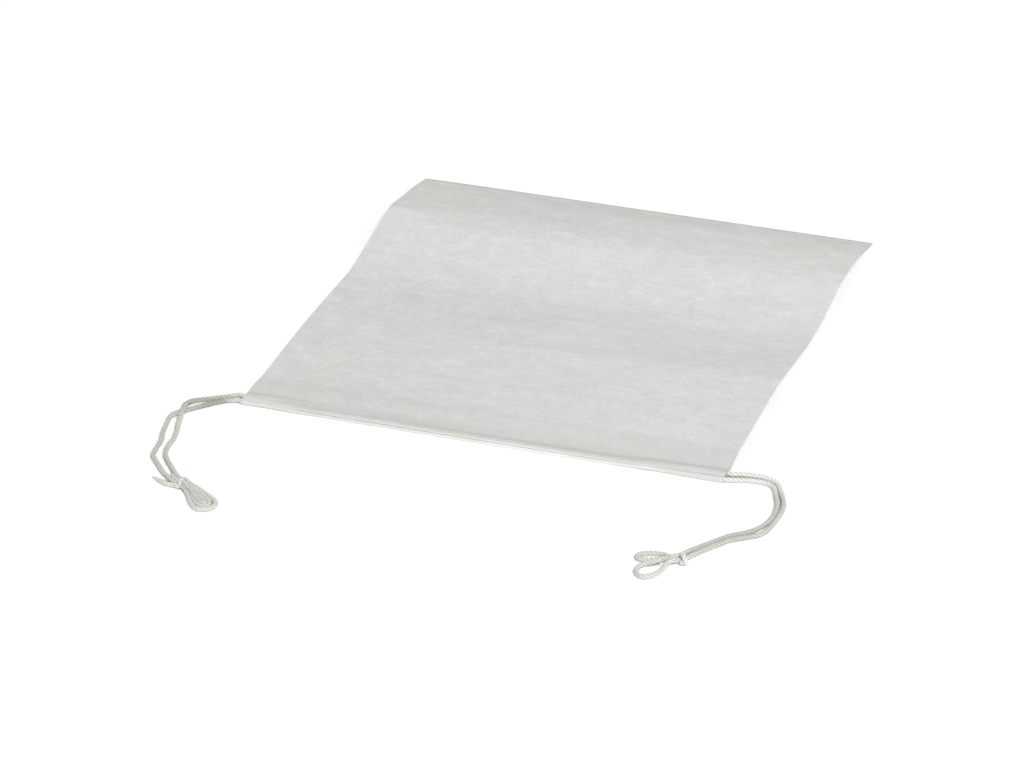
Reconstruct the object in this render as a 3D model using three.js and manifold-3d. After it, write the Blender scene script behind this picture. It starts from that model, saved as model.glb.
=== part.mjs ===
// An empty drawstring filter bag for loose tea, lying flat.
// Units are millimetres and +Z is up. X runs along the hem and +Y points from the hem to the folded bottom.
// The origin is under the middle of the pouch, on the surface that it lies on.

import * as THREE from "three";
import { mergeVertices } from "three/addons/utils/BufferGeometryUtils.js";
import Module from "manifold-3d";

// Driving dimensions of the pouch, which is one strip of paper folded at the bottom
const bagWidth = 90;
const bagHeight = 100;
const paperThickness = 0.1;
const plyGap = 0.25;
const sideSealWidth = 4;

// Driving dimensions of the drawstring and of the two hem tunnels that hold it
const cordDiameter = 0.85;
const cordSides = 8;
const tunnelClearance = 0.06;
const hemPlayUnderTunnel = 0.1;
const hemPlayBetweenTunnels = 0.1;

// How the pouch waves as it lies: places along the paper from the hem, and heights above the floor
const humpFromHem = 32;
const humpHeightLeft = 0.75;
const humpHeightRight = 2.2;
const troughFromHem = 50;
const troughFlatLength = 6;
const crestFromHem = 77;
const crestHeightLeft = 3.35;
const crestHeightRight = 2.8;
const hemSlope = 0.08;
const bottomFoldSlope = -0.24;
const mouthGapFadeLength = 12;

// Driving dimensions of the knots and of the spare cord beyond them
const knotHalfLength = 1.7;
const knotHalfWidth = 1.5;
const knotHalfHeight = 1.05;
const tailDiameter = 1.0;
const hankThickness = 1.7;
const hankNarrowRadius = 1.0;
const hankWideRadius = 2.5;
const hankEdgeRounding = 0.4;

// How finely the curved surfaces are cut into facets
const facetsAlongPaper = 26;
const facetsAcrossBag = 6;
const facetsAroundTunnel = 14;
const facetsAroundFold = 5;
const walkSteps = 2000;

const paperMaterial = new THREE.MeshStandardMaterial({ color: 0xdfdfdb, roughness: 0.92, metalness: 0 });
const cordMaterial = new THREE.MeshStandardMaterial({ color: 0xe4e3dd, roughness: 0.95, metalness: 0 });

const halfWidth = bagWidth / 2;
const cordRadius = cordDiameter / 2;
const tunnelInnerRadius = cordRadius + tunnelClearance;
const tunnelOuterRadius = tunnelInnerRadius + paperThickness;
const pouchThickness = paperThickness + plyGap + paperThickness;

// The seam line, where the back tunnel ends and the flat sheet starts, is at y = 0 until the part is centred.
// The lower ply runs under the back tunnel to the front tunnel.
const backTunnel = new THREE.Vector2(
  -tunnelOuterRadius,
  paperThickness + hemPlayUnderTunnel + tunnelOuterRadius,
);
const tunnelHeightStep = backTunnel.y - tunnelOuterRadius;
const tunnelPitch = 2 * tunnelOuterRadius + hemPlayBetweenTunnels;
const frontTunnel = new THREE.Vector2(
  backTunnel.x - Math.sqrt(tunnelPitch ** 2 - tunnelHeightStep ** 2),
  tunnelOuterRadius,
);
const hemDepth = tunnelOuterRadius - frontTunnel.x;
const sheetLength = bagHeight - hemDepth;

const waveStations = [
  { at: 0, left: 0, right: 0, slope: hemSlope },
  { at: humpFromHem, left: humpHeightLeft, right: humpHeightRight, slope: 0 },
  { at: troughFromHem, left: 0, right: 0, slope: 0 },
  { at: troughFromHem + troughFlatLength, left: 0, right: 0, slope: 0 },
  { at: crestFromHem, left: crestHeightLeft, right: crestHeightRight, slope: 0 },
  { at: sheetLength, left: 0, right: 0, slope: bottomFoldSlope },
];

// Height of the underside at a place along the paper, across = -1 at the left edge and 1 at the right edge
function waveHeight(along, across) {
  const last = waveStations.length - 1;
  let i = 0;
  while (i < last - 1 && along > waveStations[i + 1].at) i += 1;
  const from = waveStations[i];
  const to = waveStations[i + 1];
  const span = to.at - from.at;
  const t = (along - from.at) / span;
  const rightShare = (across + 1) / 2;
  const fromHeight = THREE.MathUtils.lerp(from.left, from.right, rightShare);
  const toHeight = THREE.MathUtils.lerp(to.left, to.right, rightShare);
  const ease = t * t * (3 - 2 * t);
  const slopes = from.slope * t * (1 - t) ** 2 - to.slope * t * t * (1 - t);
  return fromHeight * (1 - ease) + toHeight * ease + span * slopes;
}

// Walks along the middle of the paper, which keeps its length, and notes where each place comes to lie
function walkAlongPaper() {
  const step = sheetLength / walkSteps;
  const places = [{ along: 0, y: 0, z: waveHeight(0, 0) }];
  for (let i = 1; i <= walkSteps; i += 1) {
    const before = places[i - 1];
    const along = i * step;
    const z = waveHeight(along, 0);
    const rise = z - before.z;
    places.push({ along, y: before.y + Math.sqrt(step ** 2 - rise ** 2), z });
  }
  return places;
}

const paperWalk = walkAlongPaper();
const sheetDepth = paperWalk[walkSteps].y;
const centreShift = (sheetDepth + pouchThickness / 2 + frontTunnel.x - tunnelOuterRadius) / 2;

function alongAtDepth(y) {
  const nearest = THREE.MathUtils.clamp(y, 0, sheetDepth);
  let low = 0;
  let high = walkSteps;
  while (high - low > 1) {
    const middle = Math.floor((low + high) / 2);
    if (paperWalk[middle].y <= nearest) low = middle;
    else high = middle;
  }
  const share = (nearest - paperWalk[low].y) / (paperWalk[high].y - paperWalk[low].y);
  return THREE.MathUtils.lerp(paperWalk[low].along, paperWalk[high].along, share);
}

// The left and right edges wave more or less than the middle line, and this is the difference at the right edge
function edgeLean(y) {
  const along = alongAtDepth(y);
  return waveHeight(along, 1) - waveHeight(along, 0);
}

// Extra room between the plies near the mouth, where the upper ply rises to its tunnel
const mouthRise = backTunnel.y - paperThickness / 2 - paperThickness - plyGap;
function mouthGap(along) {
  const closeness = Math.max(0, 1 - along / mouthGapFadeLength);
  return mouthRise * closeness ** 2;
}

// One face of the sheet as points from the hem to the bottom fold, at a height over the underside
function sheetFace(height, followsUpperPly) {
  const points = [];
  for (let i = 0; i <= facetsAlongPaper; i += 1) {
    const place = paperWalk[Math.round((i / facetsAlongPaper) * walkSteps)];
    const lift = followsUpperPly ? mouthGap(place.along) : 0;
    points.push(new THREE.Vector2(place.y, place.z + height + lift));
  }
  return points;
}

function arcPoints(centre, radius, fromAngle, toAngle, facets) {
  const points = [];
  for (let i = 0; i <= facets; i += 1) {
    const angle = THREE.MathUtils.lerp(fromAngle, toAngle, i / facets);
    const spoke = new THREE.Vector2(Math.cos(angle), Math.sin(angle));
    points.push(spoke.multiplyScalar(radius).add(centre));
  }
  return points;
}

// Section of the folded strip: front tunnel, lower ply, bottom fold, upper ply and back tunnel.
// Between the side seals the plies are apart and the mouth is open, and in a seal they are one.
function stripSection(isSealed) {
  const lowerUnderside = sheetFace(0, false);
  const lowerTop = sheetFace(paperThickness, false);
  const upperUnderside = sheetFace(paperThickness + plyGap, true);
  const upperTop = sheetFace(pouchThickness, true);
  const foldCentre = new THREE.Vector2(sheetDepth, paperWalk[walkSteps].z + pouchThickness / 2);
  const foldOutside = arcPoints(foldCentre, pouchThickness / 2, -Math.PI / 2, Math.PI / 2, facetsAroundFold);
  const foldInside = arcPoints(foldCentre, plyGap / 2, Math.PI / 2, -Math.PI / 2, facetsAroundFold);
  const plyAngle = Math.asin(paperThickness / 2 / tunnelOuterRadius);
  const backLoop = arcPoints(
    backTunnel, tunnelOuterRadius, plyAngle, 2 * Math.PI - plyAngle, facetsAroundTunnel);
  const meetAngle = Math.asin((paperThickness - frontTunnel.y) / tunnelOuterRadius);
  const frontLoop = arcPoints(
    frontTunnel, tunnelOuterRadius, meetAngle, (3 / 2) * Math.PI, facetsAroundTunnel);
  const inside = [...upperUnderside.slice(1, -1), ...foldInside, ...lowerTop.slice(1, -1).reverse()];
  const section = new THREE.Shape([
    ...lowerUnderside.slice(0, -1),
    ...foldOutside,
    ...upperTop.slice(1, -1).reverse(),
    ...backLoop,
    ...(isSealed ? [] : inside),
    lowerTop[0],
    ...frontLoop,
  ]);
  for (const tunnel of [frontTunnel, backTunnel]) {
    const hole = arcPoints(tunnel, tunnelInnerRadius, 0, 2 * Math.PI, facetsAroundTunnel);
    section.holes.push(new THREE.Path(hole.slice(0, -1)));
  }
  return section;
}

// Extrudes a section drawn in Y and Z along X, and gives it the lean of the sheet's edges
function extrudeAcross(section, fromX, toX, facets) {
  const geometry = new THREE.ExtrudeGeometry(section, {
    depth: toX - fromX,
    steps: facets,
    bevelEnabled: false,
  });
  const sectionToWorld = new THREE.Matrix4().makeBasis(
    new THREE.Vector3(0, 1, 0),
    new THREE.Vector3(0, 0, 1),
    new THREE.Vector3(1, 0, 0),
  );
  geometry.applyMatrix4(sectionToWorld);
  geometry.translate(fromX, 0, 0);
  const position = geometry.attributes.position;
  for (let i = 0; i < position.count; i += 1) {
    const lean = (edgeLean(position.getY(i)) * position.getX(i)) / halfWidth;
    position.setZ(i, position.getZ(i) + lean);
  }
  return geometry;
}

// Joins closed geometries into one solid
const solids = await Module();
solids.setup();

function toSolid(geometry) {
  const bare = geometry.clone();
  bare.deleteAttribute("normal");
  bare.deleteAttribute("uv");
  const merged = mergeVertices(bare);
  return new solids.Manifold(new solids.Mesh({
    numProp: 3,
    vertProperties: new Float32Array(merged.attributes.position.array),
    triVerts: new Uint32Array(merged.index.array),
  }));
}

function joinGeometries(geometries) {
  const [first, ...others] = geometries.map(toSolid);
  const mesh = others.reduce((whole, next) => whole.add(next), first).getMesh();
  const geometry = new THREE.BufferGeometry();
  geometry.setAttribute("position", new THREE.BufferAttribute(mesh.vertProperties, 3));
  geometry.setIndex(new THREE.BufferAttribute(mesh.triVerts, 1));
  geometry.computeVertexNormals();
  return geometry;
}

function pouchGeometry() {
  const sealEdge = halfWidth - sideSealWidth;
  const middle = extrudeAcross(stripSection(false), -sealEdge, sealEdge, facetsAcrossBag);
  const leftSeal = extrudeAcross(stripSection(true), -halfWidth, -sealEdge, 1);
  const rightSeal = extrudeAcross(stripSection(true), sealEdge, halfWidth, 1);
  return joinGeometries([middle, leftSeal, rightSeal]);
}

// A cord has one ring of facets at each point of its route
class CordRoute extends THREE.CatmullRomCurve3 {
  getUtoTmapping(share) {
    return share;
  }
}

function cordSection(diameter) {
  const ring = arcPoints(new THREE.Vector2(), diameter / 2, 0, 2 * Math.PI, cordSides);
  return new THREE.Shape(ring.slice(0, -1));
}

function cordGeometry(points, diameter) {
  return new THREE.ExtrudeGeometry(cordSection(diameter), {
    extrudePath: new CordRoute(points),
    steps: points.length - 1,
    bevelEnabled: false,
  });
}

// Routes are lists of [outwards from the hem's end, back from the seam line, cord diameters over the floor]
const leftRouteOfBackString = [
  [1.0, -0.15, 0.38],
  [2.2, -0.6, 0.3],
  [3.4, -1.2, 0.2],
  [4.9, -1.9, 0.1],
  [6.2, -2.5, 0],
  [7.4, -3.2, 0],
  [8.3, -3.9, 0.05],
  [8.8, -5.2, 0.35],
  [8.6, -7.6, 1.05],
  [8.2, -9.4, 1.2],
  [7.9, -11.0, 1.15],
  [7.6, -12.2, 0.85],
  [7.5, -13.4, 0.4],
  [7.1, -14.8, 0.05],
  [6.7, -16.7, 0],
  [6.4, -18.3, 0],
  [6.4, -19.9, 0],
  [6.3, -21.5, 0],
  [6.0, -23.0, 0],
  [5.3, -24.8, 0],
  [4.1, -26.6, 0],
  [2.8, -28.3, 0],
  [1.7, -29.8, 0.1],
  [0.8, -31.0, 0.25],
];
const leftRouteOfFrontString = [
  [0.9, -1.6, 0.15],
  [1.9, -1.85, 0.05],
  [3.0, -2.25, 0],
  [4.2, -3.2, 0],
  [5.5, -4.5, 0],
  [6.7, -5.7, 0],
  [7.5, -6.6, 0],
  [8.3, -7.6, 0],
  [9.0, -8.4, 0],
  [9.5, -9.1, 0],
  [10.0, -10.0, 0],
  [10.1, -11.0, 0],
  [9.9, -12.5, 0],
  [9.6, -14.2, 0],
  [9.3, -15.8, 0],
  [9.0, -17.2, 0],
  [8.5, -18.8, 0],
  [8.2, -20.4, 0],
  [8.1, -22.0, 0],
  [7.9, -23.5, 0],
  [7.75, -24.7, 0],
  [7.4, -25.5, 0],
  [6.7, -26.5, 0],
  [5.5, -28.0, 0],
  [4.3, -29.5, 0],
  [3.3, -30.7, 0],
  [1.9, -32.0, 0.2],
];
const rightRouteOfBackString = [
  [0.9, -0.8, 0.6],
  [2.5, -0.4, 0.7],
  [4.2, 0.0, 0.7],
  [6.0, 0.2, 0.65],
  [7.7, 0.1, 0.5],
  [9.3, -0.6, 0.2],
  [10.3, -2.2, 0.05],
  [11.2, -4.2, 0],
  [12.2, -6.6, 0],
  [12.7, -9.1, 0],
  [12.7, -11.7, 0],
  [12.6, -14.2, 0],
  [12.2, -16.7, 0],
  [11.6, -18.5, 0],
  [10.5, -19.6, 0],
  [9.4, -20.4, 0],
  [8.3, -21.2, 0],
  [7.0, -22.3, 0],
  [6.0, -23.7, 0],
  [4.9, -25.2, 0],
  [4.0, -26.7, 0],
  [3.1, -28.2, 0],
  [2.4, -29.6, 0.1],
  [2.1, -30.4, 0.1],
];
const rightRouteOfFrontString = [
  [1.2, -1.6, 0.05],
  [2.7, -1.1, 0],
  [4.3, -0.7, 0],
  [6.1, -0.6, 0],
  [7.7, -0.8, 0],
  [9.0, -1.7, 0],
  [9.7, -3.1, 0],
  [10.4, -4.9, 0],
  [11.2, -6.9, 0],
  [11.6, -8.8, 0],
  [11.8, -11.0, 0],
  [11.7, -13.3, 0],
  [11.2, -15.3, 0],
  [10.6, -16.7, 0],
  [9.8, -18.0, 0],
  [8.8, -19.1, 0],
  [7.7, -20.0, 0],
  [6.5, -21.1, 0],
  [5.4, -22.5, 0],
  [4.3, -24.1, 0],
  [3.4, -25.5, 0],
  [2.4, -27.0, 0],
  [1.7, -28.3, 0.2],
  [1.1, -29.9, 0.35],
];
const rightUpperLoopRoute = [
  [-0.9, -31.3, 0.4],
  [-2.0, -30.7, 0.1],
  [-3.3, -30.6, 0],
  [-4.9, -31.1, 0],
  [-6.0, -31.8, 0],
  [-6.2, -32.6, 0],
  [-5.5, -33.3, 0],
  [-4.0, -33.2, 0],
  [-2.3, -32.7, 0.2],
  [-1.1, -32.3, 0.4],
];
const rightLowerLoopRoute = [
  [-0.5, -33.4, 0.3],
  [-0.9, -35.8, 0],
  [-1.5, -37.4, 0],
  [-2.3, -38.5, 0],
  [-3.4, -38.9, 0],
  [-4.4, -38.2, 0],
  [-4.9, -37.1, 0],
  [-4.8, -35.8, 0.1],
  [-3.9, -34.9, 0.4],
  [-2.6, -34.5, 0.8],
  [-1.3, -33.9, 1.1],
];
const leftTailRoute = [
  [-0.3, -33.0, 0.4],
  [0.9, -33.9, 0.2],
  [2.2, -33.8, 0.1],
  [3.5, -33.1, 0.1],
  [4.8, -32.3, 0.1],
];

// Places of the knots and of the hank's two round ends, written as on the routes
const leftKnotPlace = [-0.2, -32.4, 0];
const rightKnotPlace = [1.0, -31.9, 0];
const hankNarrowPlace = [-1.9, -34.8, 0];
const hankWidePlace = [-7.4, -38.9, 0];
const knotTurn = THREE.MathUtils.degToRad(-20);

// Side is -1 at the left end of the hem and 1 at the right end
function placeAtHemEnd([outwards, back, lift], side) {
  return new THREE.Vector3(side * (halfWidth + outwards), back, cordRadius + lift * cordDiameter);
}

function stringPoints(tunnel, leftRoute, rightRoute) {
  const leftEnd = new THREE.Vector3(-halfWidth, tunnel.x, tunnel.y);
  const rightEnd = new THREE.Vector3(halfWidth, tunnel.x, tunnel.y);
  const left = leftRoute.map((place) => placeAtHemEnd(place, -1));
  const right = rightRoute.map((place) => placeAtHemEnd(place, 1));
  return [...left.reverse(), leftEnd, rightEnd, ...right];
}

function knotGeometry(place, side) {
  const geometry = new THREE.SphereGeometry(1, 16, 10);
  geometry.scale(knotHalfLength, knotHalfWidth, knotHalfHeight);
  geometry.rotateZ(knotTurn);
  const centre = placeAtHemEnd(place, side).setZ(knotHalfHeight);
  return geometry.translate(centre.x, centre.y, centre.z);
}

// The left knot ends in one short cut tail
function leftKnotGeometry() {
  const tailPoints = leftTailRoute.map((place) => placeAtHemEnd(place, -1));
  return joinGeometries([knotGeometry(leftKnotPlace, -1), cordGeometry(tailPoints, tailDiameter)]);
}

// Outer shape of the nested loops: a narrow round end at the knot and a wide round end away from it
function hankGeometry() {
  const narrow = placeAtHemEnd(hankNarrowPlace, -1);
  const wide = placeAtHemEnd(hankWidePlace, -1);
  const direction = Math.atan2(wide.y - narrow.y, wide.x - narrow.x);
  const distance = Math.hypot(wide.x - narrow.x, wide.y - narrow.y);
  const flare = Math.acos((hankNarrowRadius - hankWideRadius) / distance);
  const outline = new THREE.Shape();
  const wideRadius = hankWideRadius - hankEdgeRounding;
  const narrowRadius = hankNarrowRadius - hankEdgeRounding;
  outline.absarc(wide.x, wide.y, wideRadius, direction - flare, direction + flare, false);
  outline.absarc(narrow.x, narrow.y, narrowRadius, direction + flare, direction - flare, false);
  const geometry = new THREE.ExtrudeGeometry(outline, {
    depth: hankThickness - 2 * hankEdgeRounding,
    curveSegments: 10,
    bevelThickness: hankEdgeRounding,
    bevelSize: hankEdgeRounding,
    bevelSegments: 2,
  });
  return geometry.translate(0, 0, hankEdgeRounding);
}

function loopGeometry(route) {
  return cordGeometry(route.map((place) => placeAtHemEnd(place, 1)), cordDiameter);
}

const teaBag = new THREE.Group();
teaBag.position.y = -centreShift;

function addPiece(name, geometry, material) {
  const piece = new THREE.Mesh(geometry, material);
  piece.name = name;
  teaBag.add(piece);
}

const frontStringPoints = stringPoints(frontTunnel, leftRouteOfFrontString, rightRouteOfFrontString);
const backStringPoints = stringPoints(backTunnel, leftRouteOfBackString, rightRouteOfBackString);

addPiece("filter_pouch", pouchGeometry(), paperMaterial);
addPiece("front_string", cordGeometry(frontStringPoints, cordDiameter), cordMaterial);
addPiece("back_string", cordGeometry(backStringPoints, cordDiameter), cordMaterial);
addPiece("left_knot", leftKnotGeometry(), cordMaterial);
addPiece("left_hank", hankGeometry(), cordMaterial);
addPiece("right_knot", knotGeometry(rightKnotPlace, 1), cordMaterial);
addPiece("right_upper_loop", loopGeometry(rightUpperLoopRoute), cordMaterial);
addPiece("right_lower_loop", loopGeometry(rightLowerLoopRoute), cordMaterial);

export default teaBag;
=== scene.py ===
# An empty drawstring filter bag for loose tea, lying flat on a white table.
# Lengths are written in millimetres and turned into metres where they reach Blender.

import math

import bpy
import numpy as np
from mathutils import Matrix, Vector


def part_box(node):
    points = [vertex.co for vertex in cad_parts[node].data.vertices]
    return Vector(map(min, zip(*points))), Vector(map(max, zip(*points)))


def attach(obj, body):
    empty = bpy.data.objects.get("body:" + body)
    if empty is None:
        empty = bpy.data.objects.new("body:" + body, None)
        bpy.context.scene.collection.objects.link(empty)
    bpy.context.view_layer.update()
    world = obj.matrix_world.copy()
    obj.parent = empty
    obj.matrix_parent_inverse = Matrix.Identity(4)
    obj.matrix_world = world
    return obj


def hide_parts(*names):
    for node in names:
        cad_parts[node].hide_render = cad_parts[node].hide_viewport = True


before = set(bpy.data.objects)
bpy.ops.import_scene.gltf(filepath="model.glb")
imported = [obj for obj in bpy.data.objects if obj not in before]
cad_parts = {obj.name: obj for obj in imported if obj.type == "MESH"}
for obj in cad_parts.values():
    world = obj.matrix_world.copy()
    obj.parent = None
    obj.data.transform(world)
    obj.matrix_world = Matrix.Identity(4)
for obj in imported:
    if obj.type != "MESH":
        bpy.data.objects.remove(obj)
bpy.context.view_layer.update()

MM = 0.001
SEED = 41
NOISE_TABLE_SIZE = 64
NOISE_OFFSET = 1000

# Sizes that repeat those of the CAD model
CORD_DIAMETER = 0.85
CORD_RADIUS = CORD_DIAMETER / 2
HEM_DEPTH = 2.424
SHEET_LENGTH = 97.576

pouch_low, pouch_high = (np.array(corner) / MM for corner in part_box("filter_pouch"))
HALF_WIDTH = (pouch_high[0] - pouch_low[0]) / 2
SEAM_Y = pouch_low[1] + HEM_DEPTH

# Centre lines of the two hem tunnels, as (distance from the seam line, height)
FRONT_TUNNEL = (-1.839, 0.585)
BACK_TUNNEL = (-0.585, 0.785)


# Small helpers

def smooth_line(stations, values, at):
    """Cubic line through the stations, which may be unevenly spaced, with one column of values or several."""
    stations = np.asarray(stations, float)
    values = np.asarray(values, float)
    slopes = np.gradient(values, stations, axis=0)
    i = np.clip(np.searchsorted(stations, at, side="right") - 1, 0, len(stations) - 2)
    span = stations[i + 1] - stations[i]
    t = (at - stations[i]) / span
    if values.ndim > 1:
        t = t[:, None]
        span = span[:, None]
    bend = span * (slopes[i] * t * (1 - t) ** 2 - slopes[i + 1] * t * t * (1 - t))
    return mix(values[i], values[i + 1], ease(t)) + bend


def mix(first, second, share):
    """From the first value, at share 0, to the second, at share 1."""
    return first * (1 - share) + second * share


def ease(share):
    return share * share * (3 - 2 * share)


def ripple(x, y, cell_x, cell_y, seed):
    """Smooth noise between -1 and 1 with cells of the given size, the same on each run."""
    size = NOISE_TABLE_SIZE
    table = np.random.default_rng(SEED + seed).uniform(-1, 1, (size, size))
    gx = x / cell_x + NOISE_OFFSET
    gy = y / cell_y + NOISE_OFFSET
    ix = np.floor(gx).astype(int)
    iy = np.floor(gy).astype(int)
    share_x = ease(gx - ix)
    share_y = ease(gy - iy)
    low = mix(table[ix % size, iy % size], table[(ix + 1) % size, iy % size], share_x)
    high = mix(table[ix % size, (iy + 1) % size], table[(ix + 1) % size, (iy + 1) % size], share_x)
    return mix(low, high, share_y)


def distances_along(points):
    """How far along the line through the points each one lies."""
    steps = np.linalg.norm(np.diff(points, axis=0), axis=1)
    return np.concatenate([[0], np.cumsum(steps)])


def direction(azimuth, elevation):
    """The way from the bag to a camera or lamp; at azimuth 0 it stands in front of the hem."""
    return Vector((
        math.sin(azimuth) * math.cos(elevation),
        -math.cos(azimuth) * math.cos(elevation),
        math.sin(elevation),
    ))


def srgb(red, green, blue):
    """A colour given as 0 to 255 display values, as the linear values that Blender works in."""
    values = np.array([red, green, blue]) / 255
    linear = np.where(values <= 0.04045, values / 12.92, ((values + 0.055) / 1.055) ** 2.4)
    return (*linear, 1)


def new_mesh(name, vertices_mm, faces, material):
    """A smooth-shaded mesh piece of the bag from vertices in millimetres."""
    mesh = bpy.data.meshes.new(name)
    mesh.from_pydata((np.asarray(vertices_mm) * MM).tolist(), [], faces)
    mesh.update()
    mesh.polygons.foreach_set("use_smooth", [True] * len(mesh.polygons))
    piece = bpy.data.objects.new(name, mesh)
    bpy.context.scene.collection.objects.link(piece)
    mesh.materials.append(material)
    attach(piece, "root")
    return piece


# Camera at the photograph's angle

CAMERA_AZIMUTH = math.radians(18.616)
CAMERA_ELEVATION = math.radians(27.569)
CAMERA_DISTANCE = 958.6
CAMERA_LENS = 186.95
CAMERA_TARGET_X = -1.71
CAMERA_TARGET_BEHIND_SEAM = 21.28
SENSOR_WIDTH = 36
NEAREST_SEEN = 0.01
FURTHEST_SEEN = 20


def make_camera():
    data = bpy.data.cameras.new("camera")
    data.lens = CAMERA_LENS
    data.sensor_width = SENSOR_WIDTH
    data.clip_start = NEAREST_SEEN
    data.clip_end = FURTHEST_SEEN
    camera = bpy.data.objects.new("camera", data)
    bpy.context.scene.collection.objects.link(camera)
    target = Vector((CAMERA_TARGET_X, SEAM_Y + CAMERA_TARGET_BEHIND_SEAM, 0))
    away = direction(CAMERA_AZIMUTH, CAMERA_ELEVATION)
    camera.location = (target + away * CAMERA_DISTANCE) * MM
    camera.rotation_euler = (-away).to_track_quat("-Z", "Y").to_euler()
    bpy.context.scene.camera = camera


# Materials

def set_socket(tree, socket, value):
    """Gives a socket a plain value, or a link where the value is another node's output."""
    if isinstance(value, bpy.types.NodeSocket):
        tree.links.new(value, socket)
    else:
        socket.default_value = value


def add_node(tree, kind, **inputs):
    """A node with its inputs set; in their names _ stands for a space."""
    node = tree.nodes.new(kind)
    for name, value in inputs.items():
        set_socket(tree, node.inputs[name.replace("_", " ")], value)
    return node


def noise(tree, vector, scale, detail=3, roughness=0.55):
    node = add_node(
        tree, "ShaderNodeTexNoise", Vector=vector, Scale=scale, Detail=detail, Roughness=roughness)
    return node.outputs["Fac"]


def stretched(tree, vector, angle_degrees, scale_xyz):
    """Coordinates turned about Z and then stretched, so that a noise on them runs in streaks."""
    angles = (0, 0, math.radians(angle_degrees))
    turn = add_node(tree, "ShaderNodeMapping", Vector=vector, Rotation=angles)
    stretch = add_node(tree, "ShaderNodeMapping", Vector=turn.outputs["Vector"], Scale=scale_xyz)
    return stretch.outputs["Vector"]


def remap(tree, value, low, high, to_low, to_high, easing="SMOOTHSTEP"):
    """The value's range from low to high, turned into the range from to_low to to_high."""
    node = add_node(
        tree, "ShaderNodeMapRange", Value=value, From_Min=low, From_Max=high, To_Min=to_low, To_Max=to_high)
    node.interpolation_type = easing
    return node.outputs["Result"]


def math_node(tree, operation, a, b):
    node = tree.nodes.new("ShaderNodeMath")
    node.operation = operation
    set_socket(tree, node.inputs[0], a)
    set_socket(tree, node.inputs[1], b)
    return node.outputs["Value"]


def mix_colour(tree, share, first, second):
    node = tree.nodes.new("ShaderNodeMix")
    node.data_type = "RGBA"
    share_socket, first_socket, second_socket = node.inputs[0], node.inputs[6], node.inputs[7]
    set_socket(tree, share_socket, share)
    set_socket(tree, first_socket, first)
    set_socket(tree, second_socket, second)
    return node.outputs[2]


def bump(tree, height, strength, distance_mm, normal=None):
    node = add_node(tree, "ShaderNodeBump", Height=height, Strength=strength, Distance=distance_mm * MM)
    if normal is not None:
        tree.links.new(normal, node.inputs["Normal"])
    return node.outputs["Normal"]


def coordinate(tree, vector, axis):
    return add_node(tree, "ShaderNodeSeparateXYZ", Vector=vector).outputs[axis]


SPECULAR_LEVEL = 0.2


def new_material(name, roughness):
    material = bpy.data.materials.new(name)
    material.use_nodes = True
    tree = material.node_tree
    shader = tree.nodes["Principled BSDF"]
    shader.inputs["Roughness"].default_value = roughness
    shader.inputs["Specular IOR Level"].default_value = SPECULAR_LEVEL
    coordinates = tree.nodes.new("ShaderNodeTexCoord")
    return material, tree, shader, coordinates


PAPER_NEUTRAL = srgb(213, 213, 213.5)
PAPER_WARM = srgb(212, 213, 204)
# Painted shade that greys the paper towards the left
PAPER_LEFT_SHADE = srgb(198, 198, 197)
# Painted light on the hem's front, which the lamps leave in shade
PAPER_FRONT_PAINTED_LIGHT = srgb(252, 252, 250)
PAPER_LIGHT_FIBRE = srgb(232, 232, 230)
PAPER_DARK_FIBRE = srgb(194, 194, 193)
# Painted shade on the hem roll and in the crease behind it, with the pressed seal's darker paper
PAPER_SEAM_SHADE = srgb(190, 190, 182)
PAPER_SPECK = srgb(150, 148, 138)


PAPER_ROUGHNESS = 0.85

# The paper's noises, as (degrees turned, stretch along X, Y and Z, detail, roughness)
PAPER_NOISES = {
    "clouds": (0, (34, 60, 34), 4, 0.6),
    "felt": (3, (260, 330, 300), 5, 0.95),
    "grain": (0, (1900, 1300, 1500), 3, 0.9),
    "streaks": (2, (55, 420, 200), 4, 0.75),
    "slanted fibres": (14, (300, 2600, 400), 3, 0.7),
    "crossing fibres": (-52, (420, 2400, 400), 3, 0.7),
    "seam wander": (0, (40, 250, 40), 3, 0.55),
}

# Fibres, as (noise, the two values between which they rise, their greatest share, tone)
PAPER_FIBRES = [
    ("felt", 0.5, 0.66, 0.42, PAPER_LIGHT_FIBRE),
    ("felt", 0.5, 0.34, 0.42, PAPER_DARK_FIBRE),
    ("streaks", 0.5, 0.7, 0.18, PAPER_LIGHT_FIBRE),
    ("streaks", 0.5, 0.3, 0.18, PAPER_DARK_FIBRE),
    ("grain", 0.5, 0.7, 0.31, PAPER_LIGHT_FIBRE),
    ("grain", 0.5, 0.3, 0.31, PAPER_DARK_FIBRE),
    ("slanted fibres", 0.56, 0.74, 0.28, PAPER_LIGHT_FIBRE),
    ("crossing fibres", 0.58, 0.76, 0.25, PAPER_DARK_FIBRE),
]

# Relief of the fibres, as (noise, strength, height in millimetres)
PAPER_RELIEF = [
    ("streaks", 0.3, 0.04), ("felt", 0.3, 0.05), ("slanted fibres", 0.3, 0.02), ("grain", 0.25, 0.02),
]

# Shares of a tone at distances behind the seam line: the seam's darker tone, mostly painted shade on the hem
# roll and in the crease behind it, and the paper's warmer one
SEAM_SHADE_TONE = [
    (-2.6, 0.2), (-1.7, 0.4), (-1.0, 0.45), (-0.3, 0.25), (0.9, 0.2), (1.8, 0.42), (4.0, 0.3), (8.5, 0),
]
WARMTH_AT_FRONT = [(-2, 0.42), (24, 0.42), (38, 0.05), (130, 0.05)]
WARMTH_AT_BACK = [(60, 0), (72, 0.14), (80, 0.42), (97, 0.42)]
WARMTH_SLANT_AT_FRONT = 0.4
CLOUD_RANGE = (0.4, 0.6, 0.25, 1.6)
SEAM_WANDER_RANGE = (0.3, 0.7, -0.5 * MM, 0.5 * MM)
LEFT_SHADE_SHARE = 0.28


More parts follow.
